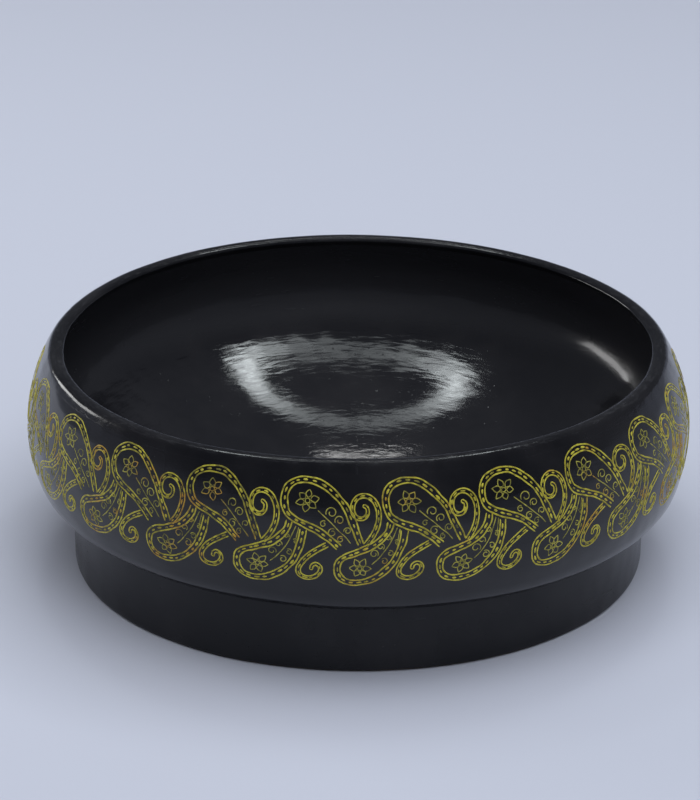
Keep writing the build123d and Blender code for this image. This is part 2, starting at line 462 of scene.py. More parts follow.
def bent(before: Points, start: Points, end: tuple, way: tuple, count: int) -> Points:
    """A rounded corner from a line's end to a point that it reaches in a given direction.

    It is a cubic curve. Its first handle runs on from the line and its second runs back from the
    end, and each is 0.44 of the distance between the ends.

    Args:
        before: the line's last point but one.
        start: its last point.
        end: where the corner ends.
        way: the direction of travel there.
        count: how many points.

    Returns:
        Rows of (distance from the axis, height).
    """
    start, end, way = np.asarray(start), np.asarray(end), np.asarray(way)
    onward = (start - before) / np.hypot(*(start - before))
    handle = 0.44 * np.hypot(*(end - start))
    first, second = start + onward * handle, end - way * handle
    t = np.linspace(0.0, 1.0, count)[:, None]
    return (
        (1 - t) ** 3 * start + 3 * (1 - t) ** 2 * t * first + 3 * (1 - t) * t**2 * second + t**3 * end
    )


def chain(*parts: Points) -> Points:
    """Join runs of profile points, leaving out any point that repeats the one before it."""
    whole = np.vstack(parts)
    step = np.hypot(*np.diff(whole, axis=0).T)
    return whole[np.concatenate(([True], step > 1e-7))]


def crisp(outline: Points, looped: bool, gap: float = 0.03 * MM) -> Points:
    """Hold an outline's corners sharp under smooth shading.

    Where the outline turns by more than 25 degrees, two points are added on its sides, a small
    gap before and after the corner, so that the shading bends only between them.

    Args:
        outline: rows of (distance from the axis, height).
        looped: whether the last point joins the first.
        gap: distance of the added points from the corner.

    Returns:
        The outline with its added points.
    """
    before = np.roll(outline, 1, axis=0)
    after = np.roll(outline, -1, axis=0)
    into, out = outline - before, after - outline
    long_in, long_out = np.hypot(*into.T), np.hypot(*out.T)
    bend = np.abs(np.degrees(np.arctan2(
        into[:, 0] * out[:, 1] - into[:, 1] * out[:, 0], (into * out).sum(axis=1)
    )))
    sharp = (bend > 25) & (np.minimum(long_in, long_out) > 3 * gap)
    if not looped:
        sharp[[0, -1]] = False
    ahead = outline - into / np.maximum(long_in, 1e-12)[:, None] * gap
    behind = outline + out / np.maximum(long_out, 1e-12)[:, None] * gap
    stacked = np.stack((ahead, outline, behind), axis=1)
    keep = np.column_stack((sharp, np.ones(len(outline), bool), sharp))
    return stacked[keep]


def distance_along(line: Points) -> Points:
    """Distance travelled at each point of a line."""
    return np.concatenate(([0.0], np.cumsum(np.hypot(*np.diff(line, axis=0).T))))


def angle_to(start: tuple[float, float], end: tuple[float, float]) -> float:
    """Angle in degrees of the line from start to end."""
    return float(np.degrees(np.arctan2(end[1] - start[1], end[0] - start[0])))


class Waves:
    """Soft random relief: a sum of plane waves in space, so that it has no seam."""

    def __init__(self, seed: int, length: float, count: int = 22) -> None:
        """Draw the waves.

        Args:
            seed: the random seed.
            length: the usual wave length in metres.
            count: how many waves.
        """
        rng = np.random.default_rng(seed)
        heading = rng.normal(size=(count, 3))
        heading /= np.linalg.norm(heading, axis=1, keepdims=True)
        self.wave = heading * (2 * np.pi / length) * rng.uniform(0.6, 1.5, (count, 1))
        self.phase = rng.uniform(0, 2 * np.pi, count)

    def at(self, points: Points) -> Points:
        """The relief at points, about -1 to 1: the sines of each wave's phase, summed."""
        swing = points @ self.wave.T + self.phase
        return np.sin(swing).sum(axis=-1) / np.sqrt(len(self.phase) * 2.0)


@dataclass
class HandForm:
    """How far the bowl is from round: one smooth bending of space for every piece.

    The angle is measured from the front (-Y) towards +X. A ripple is (waves round the bowl,
    outward push in metres, angle of its crest in degrees).
    """

    belly_height: float
    rim_height: float
    foot_height: float
    mouth: tuple = ((1, 0.9 * MM, -69), (2, 0.45 * MM, -20), (3, 0.6 * MM, -44), (4, 0.25 * MM, 33))
    foot: tuple = ((2, 0.5 * MM, -13), (3, 0.7 * MM, -57))
    corner_crest: float = -31.0      # the place where the mouth comes out in a blunt corner
    corner_width: float = 8.0
    corner_push: float = 0.9 * MM
    flat_crest: float = 132.0        # the place where the back of the mouth is flattened
    flat_width: float = 13.0
    flat_push: float = -0.6 * MM
    sag: float = 1.1 * MM            # the bulge hangs lower on the right, higher on the left
    lump: float = 0.16 * MM
    dimple: float = 0.05 * MM
    broad: Waves = field(default_factory=lambda: Waves(11, 0.045))
    close: Waves = field(default_factory=lambda: Waves(12, 0.012))

    @staticmethod
    def ripple(angle: Points, ripples: tuple) -> Points:
        """Sum of cosines round the bowl, one for each ripple."""
        return sum(push * np.cos(count * (angle - np.radians(crest))) for count, push, crest in ripples)

    @staticmethod
    def swell(angle: Points, crest: float, width: float) -> Points:
        """A bump round one angle: a bell curve of the angle's distance from its crest."""
        away = (np.degrees(angle) - crest + 180.0) % 360.0 - 180.0
        return np.exp(-0.5 * (away / width) ** 2)

    def bend(self, points: Points) -> Points:
        """Move points to where the hand-made bowl has them.

        The push outwards is the mouth's ripples, growing as the square of the rise from belly to
        rim, plus the foot's ripples, fading to nothing at the belly, plus soft lumps. The
        bulge's sag is the sine of the angle, strongest at the foot joint.

        Args:
            points: rows of x, y, z.

        Returns:
            The moved points, in the same shape.
        """
        x, y, z = np.moveaxis(points, -1, 0)
        radius = np.hypot(x, y)
        angle = np.arctan2(x, -y)
        reach = np.clip(radius / 0.10, 0.0, 1.0) ** 2
        climb = np.clip((z - self.belly_height) / (self.rim_height - self.belly_height), 0.0, 1.2)
        sink = np.clip((self.belly_height - z) / (self.belly_height - self.foot_height), 0.0, 1.0)
        fall = np.clip(z / self.foot_height, 0.0, 1.0)
        joint = (3 * fall**2 - 2 * fall**3) * (3 * sink**2 - 2 * sink**3)
        mouth = self.ripple(angle, self.mouth)
        mouth = mouth + self.corner_push * self.swell(angle, self.corner_crest, self.corner_width)
        mouth = mouth + self.flat_push * self.swell(angle, self.flat_crest, self.flat_width)
        push = mouth * climb**1.6 + self.ripple(angle, self.foot) * (1 - fall) * 0.9
        push = push + self.lump * self.broad.at(points) + self.dimple * self.close.at(points)
        grow = 1.0 + push * reach / np.maximum(radius, 1e-6)
        drop = -self.sag * np.sin(angle) * joint * reach
        return np.stack((x * grow, y * grow, z + drop), axis=-1)


@dataclass
class Profile:
    """The bowl's outlines in the profile plane, worked out from the frame's boxes."""

    wall: float = 5.6 * MM
    rim_inset: float = 9.5 * MM
    lower_curve: float = 52.0 * MM
    corner_radius: float = 13.8 * MM
    floor_height: float = 15.0 * MM
    floor_rise: float = 32.0 * MM     # the dish's climb towards the wall
    floor_inset: float = 20.0 * MM    # how far in from the belly it has climbed that much
    inner_corner: float = 22.0 * MM
    floor_thickness: float = 6.0 * MM
    seat_flat: float = 3.5 * MM       # flat of the underside inside the foot
    coat: float = 0.5 * MM
    belly_height: float = 55.0 * MM
    margin: float = 0.35 * MM         # the drawn belly stays this far inside the frame

    def __post_init__(self) -> None:
        """Read the frame and place the arcs' centres."""
        skin, lip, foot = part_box("outer_lacquer")[1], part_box("lip_binding"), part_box("foot_lacquer")[1]
        self.belly_radius = skin.x - self.margin
        self.rim_height = lip[1].z - self.margin
        self.seat_height = lip[0].z
        self.foot_radius = foot.x
        self.foot_height = foot.z
        self.foot_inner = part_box("recess_lacquer")[1].x
        rise = self.rim_height - self.belly_height
        self.upper_curve = (self.rim_inset**2 + rise**2) / (2 * self.rim_inset)
        self.upper_centre = (self.belly_radius - self.upper_curve, self.belly_height)
        self.lower_centre = (self.belly_radius - self.lower_curve, self.belly_height)
        drop = self.belly_height - self.foot_height - self.corner_radius
        reach = float(np.sqrt((self.lower_curve - self.corner_radius) ** 2 - drop**2))
        self.corner_centre = (self.lower_centre[0] + reach, self.foot_height + self.corner_radius)
        self.lower_turn = angle_to(self.lower_centre, self.corner_centre)
        reach = self.belly_radius + self.margin - self.floor_inset
        self.floor_curve = (reach**2 + self.floor_rise**2) / (2 * self.floor_rise)
        self.floor_centre = (0.0, self.floor_height + self.floor_curve)
        self.under_middle = self.floor_height - self.floor_thickness
        dish, deep = self.foot_inner - self.seat_flat, self.foot_height + self.coat - self.under_middle
        self.under_curve = (dish**2 + deep**2) / (2 * deep)
        self.under_centre = (0.0, self.under_middle + self.under_curve)
        self.inner_curve = self.upper_curve - self.wall
        self.inner_centre = self._meeting()
        self.inner_turn = angle_to(self.upper_centre, self.inner_centre)
        self.floor_turn = angle_to(self.floor_centre, self.inner_centre)
        self.rise = self.upper_curve * float(np.arcsin(rise / self.upper_curve))

    def _meeting(self) -> tuple[float, float]:
        """Centre of the inner corner, which touches both the inner wall and the dished floor.

        It is the outer crossing of two circles: one about the wall's centre and one about the
        floor's centre, each smaller than its own curve by the corner's radius.
        """
        a, b = np.array(self.upper_centre), np.array(self.floor_centre)
        near, far = self.inner_curve - self.inner_corner, self.floor_curve - self.inner_corner
        gap = float(np.hypot(*(b - a)))
        along = (near**2 - far**2 + gap**2) / (2 * gap)
        across = float(np.sqrt(near**2 - along**2))
        way = (b - a) / gap
        found = a + along * way + across * np.array((way[1], -way[0]))
        return (float(found[0]), float(found[1]))

    def turn_at(self, radius: float, height: float) -> float:
        """Angle in degrees at which the upper wall's circle of that radius reaches a height."""
        return float(np.degrees(np.arcsin((height - self.belly_height) / radius)))

    def outside(self, depth: float, top: float) -> Points:
        """Outer outline from a height down to the underside, depth inside the lacquer."""
        radius = self.upper_curve - depth
        return chain(
            arc(self.upper_centre, radius, self.turn_at(radius, top), 0, 40),
            arc(self.lower_centre, self.lower_curve - depth, 0, self.lower_turn, 20),
            arc(self.corner_centre, self.corner_radius - depth, self.lower_turn, -90, 16),
        )

    def inside(self, depth: float, top: float) -> Points:
        """Inner outline from a height down to the floor's middle, depth inside the lacquer."""
        wall, corner = self.inner_curve + depth, self.inner_corner + depth
        dish = self.floor_curve + depth
        return chain(
            arc(self.upper_centre, wall, self.turn_at(wall, top), self.inner_turn, 20),
            arc(self.inner_centre, corner, self.inner_turn, self.floor_turn, 18),
            arc(self.floor_centre, dish, self.floor_turn, -90, 50),
        )

    def under(self, drop: float, start: float) -> Points:
        """Underside outline from a radius inwards: the flat shoulder, then the dish."""
        height = self.foot_height + self.coat - drop
        curve = self.under_curve + drop
        reach = float(np.sqrt(curve**2 - (self.under_centre[1] - height) ** 2))
        turn = angle_to(self.under_centre, (reach, height))
        return chain(
            run((start, height), (reach, height), 5), arc(self.under_centre, curve, turn, -90, 40)
        )

    def on_wall(self, drawn: Points, lift: Points) -> Points:
        """Press a flat drawing on to the belly.

        Going up from the belly the wall follows a circle, so a distance up it becomes an angle,
        the distance over the circle's radius; the height is the belly's plus the radius times
        the sine, and the distance from the axis is the belly's less the radius times one minus
        the cosine. A distance along the belly becomes an angle about the axis.

        Args:
            drawn: rows of (along the belly, up the wall) in metres.
            lift: how far each point stands off the lacquer.

        Returns:
            Rows of x, y, z.
        """
        along, up = drawn[..., 0], drawn[..., 1]
        curve = np.where(up > 0, self.upper_curve, self.lower_curve)
        tilt = up / curve
        radius = self.belly_radius - curve * (1 - np.cos(tilt)) + lift * np.cos(tilt)
        height = self.belly_height + curve * np.sin(tilt) + lift * np.sin(tilt)
        turn = along / self.belly_radius
        return np.stack((radius * np.sin(turn), -radius * np.cos(turn), height), axis=-1)


@dataclass
class Mesh:
    """Vertices, faces and per-point numbers, gathered from numpy arrays and made into a piece."""

    name: str
    points: list = field(default_factory=list)
    quads: list = field(default_factory=list)
    threes: list = field(default_factory=list)
    numbers: dict = field(default_factory=dict)
    count: int = 0

    def add(self, points: Points, quads: Points, threes: Points | None = None,
            **numbers: Points) -> None:
        """Add a patch.

        Args:
            points: rows of x, y, z.
            quads: rows of four point numbers, counted from the patch's own first point.
            threes: rows of three point numbers.
            numbers: one value for each point, by attribute name.
        """
        self.points.append(points.reshape(-1, 3))
        self.quads.append(np.asarray(quads).reshape(-1, 4) + self.count)
        if threes is not None and len(threes):
            self.threes.append(np.asarray(threes).reshape(-1, 3) + self.count)
        for name, values in numbers.items():
            self.numbers.setdefault(name, []).append(np.asarray(values, dtype=np.float32).ravel())
        self.count += points.reshape(-1, 3).shape[0]

    def piece(self, material: bpy.types.Material) -> bpy.types.Object:
        """Make the object, at the origin, with smooth faces and its numbers as attributes.

        Args:
            material: its finish.

        Returns:
            The new object.
        """
        points = np.vstack(self.points).astype(np.float32)
        quads = np.vstack(self.quads) if self.quads else np.zeros((0, 4), int)
        threes = np.vstack(self.threes) if self.threes else np.zeros((0, 3), int)
        corners = np.concatenate((quads.ravel(), threes.ravel())).astype(np.int32)
        starts = np.concatenate(
            (np.arange(len(quads)) * 4, len(quads) * 4 + np.arange(len(threes)) * 3)
        ).astype(np.int32)
        mesh = bpy.data.meshes.new(self.name)
        mesh.vertices.add(len(points))
        mesh.vertices.foreach_set("co", points.ravel())
        mesh.loops.add(len(corners))
        mesh.loops.foreach_set("vertex_index", corners)
        mesh.polygons.add(len(starts))
        mesh.polygons.foreach_set("loop_start", starts)
        mesh.polygons.foreach_set("use_smooth", np.ones(len(starts), dtype=bool))
        mesh.update(calc_edges=True)
        mesh.validate()
        for name, values in self.numbers.items():
            layer = mesh.attributes.new(name, "FLOAT", "POINT")
            layer.data.foreach_set("value", np.concatenate(values))
        mesh.materials.append(material)
        piece = bpy.data.objects.new(self.name, mesh)
        bpy.context.scene.collection.objects.link(piece)
        return piece


def turned(name: str, outline: Points, form: HandForm | None, segments: int,
           wear_and_sheen_above: float = 1.0) -> Mesh:
    """Turn an outline about the axis into a closed surface, bent by the hand's form.

    A point of the surface is the outline's distance from the axis times (sine, minus cosine) of
    the angle, at the outline's height. An outline that starts and ends on the axis is closed
    with a fan at each pole; any other is closed on itself. The faces look outwards whichever way
    the outline runs: they are turned over where its shoelace sum is above zero, which means that
    it runs counterclockwise.

    Args:
        name: the piece's name.
        outline: rows of (distance from the axis, height).
        form: the bending, or None for a true round.
        segments: how many steps round.
        wear_and_sheen_above: height above which the piece counts as its crown, which takes grey wear and
            painted highlight.

    Returns:
        The mesh, with each point's angle, distance along the profile, and share of the crown's grey wear
        and painted highlight.
    """
    poled = outline[0, 0] < 1e-6 and outline[-1, 0] < 1e-6
    outline = crisp(outline, not poled)
    body = outline[1:-1] if poled else outline
    rows = len(body)
    angle = np.linspace(0.0, 2 * np.pi, segments, endpoint=False)
    radius, height = body[:, 0], body[:, 1]
    grid = np.stack(
        (
            np.sin(angle)[:, None] * radius,
            -np.cos(angle)[:, None] * radius,
            np.broadcast_to(height, (segments, rows)),
        ),
        axis=-1,
    )
    across = distance_along(body)
    # share of the crown, which takes grey wear and painted highlight
    wear_and_sheen = np.clip((height - wear_and_sheen_above) / MM, 0.0, 1.0)
    here = np.arange(segments)[:, None] * rows
    there = np.roll(here, -1, axis=0)
    low = np.arange(rows - 1 if poled else rows)[None, :]
    high = (low + 1) % rows
    quads = np.stack((here + low, here + high, there + high, there + low), axis=-1)
    points = grid.reshape(-1, 3)
    numbers = {
        "angle": np.repeat(angle, rows),
        "across": np.tile(across, segments),
        "edge": np.tile(wear_and_sheen, segments),
    }
    threes = None
    if poled:
        ends = np.array(((0, 0, outline[0, 1]), (0, 0, outline[-1, 1])))
        points = np.vstack((points, ends))
        first, last = segments * rows, segments * rows + 1
        ring, ring_next = here[:, 0], there[:, 0]
        threes = np.vstack((
            np.column_stack((np.full(segments, first), ring, ring_next)),
            np.column_stack((np.full(segments, last), ring_next + rows - 1, ring + rows - 1)),
        ))
        numbers = {
            "angle": np.append(numbers["angle"], (0.0, 0.0)),
            "across": np.append(numbers["across"], (0.0, across[-1])),
            "edge": np.append(numbers["edge"], (0.0, 0.0)),
        }
    shoelace = np.sum(radius * np.roll(height, -1) - np.roll(radius, -1) * height)
    if shoelace > 0:
        quads = quads[..., ::-1]
        threes = threes[..., ::-1] if poled else None
    mesh = Mesh(name)
    mesh.add(form.bend(points) if form else points, quads, threes, **numbers)
    return mesh


# ---------------------------------------------------------------- sub-assemblies


@dataclass
class Body:
    """The formed core, its coats inside and out, and the binding over the lip."""

    profile: Profile
    form: HandForm
    lip_round: float = 2.0 * MM        # height of the lip's rounded crown
    outer_share: float = 0.60          # how much of the crown's width slopes outwards

    def core(self, finish: bpy.types.Material) -> bpy.types.Object:
        """The formed shell under the coats."""
        p = self.profile
        outline = chain(
            p.inside(p.coat, p.seat_height)[::-1],
            p.outside(p.coat, p.seat_height),
            p.under(0.0, p.corner_centre[0] - MM),
        )
        piece = turned("bowl_core_shell", outline, self.form, 256).piece(finish)
        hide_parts("bowl_core")
        return piece

    def outer_coat(self, finish: bpy.types.Material) -> bpy.types.Object:
        """The lacquer outside, from the binding down to the foot joint."""
        p = self.profile
        core_foot = p.foot_radius - p.coat
        outline = chain(
            p.outside(0.0, p.seat_height),
            run((core_foot, p.foot_height), (core_foot, p.foot_height + p.coat), 2),
            p.outside(p.coat, p.seat_height)[::2][::-1],
        )
        piece = turned("outer_coat", outline, self.form, 720).piece(finish)
        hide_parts("outer_lacquer")
        return piece

    def inner_coat(self, finish: bpy.types.Material) -> bpy.types.Object:
        """The lacquer inside, from the binding down over the dished floor."""
        p = self.profile
        outline = chain(p.inside(0.0, p.seat_height)[::-1], p.inside(p.coat, p.seat_height)[::3])
        outline[-1, 0] = 0.0
        piece = turned("inner_coat", outline, self.form, 640).piece(finish)
        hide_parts("inner_lacquer")
        return piece

    def lip(self, finish: bpy.types.Material) -> bpy.types.Object:
        """The binding: a hoop whose crown is rounded into the wall on both sides."""
        p = self.profile
        outer, inner, top, soft = p.upper_curve, p.inner_curve, p.rim_height, self.lip_round
        shoulder = arc(
            p.upper_centre, outer, p.turn_at(outer, p.seat_height), p.turn_at(outer, top - soft), 5
        )
        inner_side = arc(
            p.upper_centre, inner, p.turn_at(inner, p.seat_height), p.turn_at(inner, top - soft), 5
        )
        width = shoulder[-1, 0] - inner_side[-1, 0]
        peak = (shoulder[-1, 0] - self.outer_share * width, top)
        crown = chain(
            bent(shoulder[-2], shoulder[-1], peak, (-1.0, 0.0), 16),
            bent(inner_side[-2], inner_side[-1], peak, (1.0, 0.0), 12)[::-1],
        )[1:-1]
        outline = chain(
            inner_side[::-1], run(tuple(inner_side[0]), tuple(shoulder[0]), 4), shoulder, crown
        )
        # the crown's top 1.2 mm takes the grey of wear and painted highlight
        piece = turned("lip_strip", outline, self.form, 900, top - 1.2 * MM).piece(finish)
        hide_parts("lip_binding")
        return piece

    def build(self, finishes: dict) -> list:
        """Make every piece of the body."""
        return [
            self.core(finishes["core"]),
            self.outer_coat(finishes["outside"]),
            self.inner_coat(finishes["inside"]),
            self.lip(finishes["lip"]),
        ]


@dataclass
class Foot:
    """The broad ring, its lacquer, and the lacquer in the recess inside it."""

    profile: Profile
    form: HandForm
    edge_round: float = 1.5 * MM

    def ring(self, finish: bpy.types.Material) -> bpy.types.Object:
        """The glued ring itself, bare on its resting face."""
        p, turn = self.profile, self.edge_round
        out, hole, top = p.foot_radius - p.coat, p.foot_inner, p.foot_height + p.coat
        outline = chain(
            arc((hole + turn, turn), turn, 180, 270, 6),
            arc((out - turn, turn), turn, 270, 360, 6),
            run((out, turn), (out, top), 14),
            run((out, top), (hole, top), 5),
            run((hole, top), (hole, turn), 14)[:-1],
        )
        piece = turned("foot_core", outline, self.form, 360).piece(finish)
        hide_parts("foot_ring")
        return piece

    def coat(self, finish: bpy.types.Material) -> bpy.types.Object:
        """The lacquer on the ring's outside, rolled under its edge."""
        p, turn = self.profile, self.edge_round
        out, inner = p.foot_radius, p.foot_radius - p.coat
        outline = chain(
            run((inner, turn), (out - 0.3 * p.coat, turn * 0.75), 3),
            run((out, turn * 1.3), (out, p.foot_height), 30),
            run((inner, p.foot_height), (inner, turn), 12)[:-1],
        )
        piece = turned("foot_coat", outline, self.form, 640).piece(finish)
        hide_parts("foot_lacquer")
        return piece

    def recess(self, finish: bpy.types.Material) -> bpy.types.Object:
        """The lacquer on the ring's inside and over the dished underside."""
        p, turn = self.profile, self.edge_round
        near, far = p.foot_inner, p.foot_inner - p.coat
        outline = chain(
            p.under(p.coat, far)[::-1],
            run((far, p.foot_height), (far, turn), 14),
            run((near, turn), (near, p.foot_height + p.coat), 14),
            p.under(0.0, near),
        )
        outline[0, 0] = outline[-1, 0] = 0.0
        piece = turned("recess_coat", outline, self.form, 360).piece(finish)
        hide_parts("recess_lacquer")
        return piece

    def build(self, finishes: dict) -> list:
        """Make every piece of the foot."""
        return [self.ring(finishes["core"]), self.coat(finishes["foot"]), self.recess(finishes["foot"])]


# ---------------------------------------------------------------- the painted band


def smooth_line(points: Points, step: float) -> Points:
    """A smooth line through points, resampled at even steps.

    Between two points the line is a cubic whose slopes at its ends are the chords across each
    end, so it passes through every point with no corner. Its length is then measured along many
    short chords and cut into equal steps.

    Args:
        points: rows of (along, up).
        step: the wanted spacing.

    Returns:
        Rows of (along, up).
    """
    chord = np.hypot(*np.diff(points, axis=0).T)
    knot = np.concatenate(([0.0], np.cumsum(chord**0.7)))
    slope = np.gradient(points, knot, axis=0)
    fine = np.linspace(0.0, knot[-1], 24 * len(points))
    cell = np.clip(np.searchsorted(knot, fine, side="right") - 1, 0, len(points) - 2)
    width = (knot[cell + 1] - knot[cell])[:, None]
    t = ((fine - knot[cell]) / (knot[cell + 1] - knot[cell]))[:, None]
    line = (
        (2 * t**3 - 3 * t**2 + 1) * points[cell] + (t**3 - 2 * t**2 + t) * width * slope[cell]
        + (3 * t**2 - 2 * t**3) * points[cell + 1] + (t**3 - t**2) * width * slope[cell + 1]
    )
    return even_steps(line, step)


def even_steps(line: Points, step: float) -> Points:
    """The line cut into equal steps, near the wanted one."""
    travelled = distance_along(line)
    count = max(3, int(round(travelled[-1] / step)) + 1)
    wanted = np.linspace(0.0, travelled[-1], count)
    return np.column_stack([np.interp(wanted, travelled, line[:, axis]) for axis in (0, 1)])


def across(line: Points) -> Points:
    """Unit vectors to the left of the line's direction at each of its points."""
    way = np.gradient(line, axis=0)
    way = way / np.maximum(np.hypot(*way.T), 1e-12)[:, None]
    return np.column_stack((-way[:, 1], way[:, 0]))


@dataclass(frozen=True)
class Motif:
    """One repeat of the ornament, drawn flat in millimetres: (along the belly, up the wall)."""

    upper_border: tuple = (
        (11.6, 3.9), (7.7, 7.4), (4.1, 9.9), (-0.4, 11.9), (-4.6, 13.9), (-7.2, 16.0), (-8.4, 18.9),
        (-8.6, 22.4), (-7.2, 25.8), (-3.6, 28.1), (0.4, 28.5), (4.0, 27.8), (7.3, 25.6), (10.4, 22.6),
        (13.1, 19.3), (15.2, 15.3), (17.0, 11.3), (18.9, 7.0), (19.6, 5.2),
    )
    lower_border: tuple = (
        (-6.6, 13.2), (-7.3, 10.6), (-9.6, 7.4), (-12.7, 4.8), (-15.6, 3.4), (-19.6, 1.8),
        (-23.2, 0.4), (-25.5, -1.6), (-26.2, -4.3), (-25.8, -7.2), (-24.0, -9.6), (-21.0, -10.7),
        (-17.5, -10.6), (-13.9, -9.6), (-10.5, -7.6), (-7.5, -4.9), (-5.2, -2.0), (-3.5, 1.6),
        (-2.4, 5.1), (-1.8, 8.5), (-1.6, 10.2),
    )
    upper_tendril: tuple = (
        (-15.9, 4.8), (-13.4, 8.2), (-11.8, 11.8), (-11.3, 15.5), (-11.9, 19.1), (-13.6, 21.8),
        (-16.2, 23.1), (-18.9, 22.8), (-20.7, 21.2), (-21.3, 19.0), (-20.9, 16.6), (-19.3, 15.1),
        (-17.2, 15.0), (-15.8, 16.5), (-15.9, 18.6), (-17.3, 19.6),
    )
    lower_tendril: tuple = (
        (7.4, 5.0), (3.7, 2.8), (0.6, 0.5), (-1.8, -2.2), (-3.2, -5.1), (-2.9, -7.4), (-1.2, -8.7),
        (1.0, -8.8), (3.3, -7.6), (4.7, -5.6), (4.5, -3.7), (3.1, -2.8), (1.8, -3.6), (1.4, -5.2),
    )
    upper_bloom: tuple = (0.0, 20.9)
    lower_bloom: tuple = (-17.9, -4.5)
    upper_stem: tuple = ((3.6, 17.5), (6.3, 15.0), (9.0, 12.6), (11.5, 10.1), (14.0, 7.8), (15.8, 5.6))
    lower_stem: tuple = (
        (-13.4, -3.0), (-11.0, -0.7), (-9.4, 1.3), (-7.3, 4.3), (-5.6, 8.0), (-4.2, 11.4),
    )
    # Curls: centre along, centre up, radius, angle where the curl leaves its stem, turn direction.
    upper_curls: tuple = (
        (8.3, 16.9, 1.75, 215, -1), (11.3, 14.2, 1.55, 215, -1), (14.3, 10.4, 1.25, 205, -1),
        (5.6, 12.7, 1.05, 60, 1), (9.0, 9.6, 1.45, 50, 1), (12.0, 7.1, 1.05, 50, 1),
    )
    lower_curls: tuple = (
        (-12.6, 1.3, 1.5, 330, 1), (-10.2, 4.1, 1.25, 330, 1), (-8.7, -1.8, 1.3, 130, -1),
        (-6.5, 1.3, 1.05, 130, -1), (-4.3, 5.6, 0.95, 140, -1), (-7.4, 7.4, 0.9, 320, 1),
    )
    neck_lines: tuple = (((-3.2, 10.9), (-3.9, 7.6), (-4.3, 4.4)),)


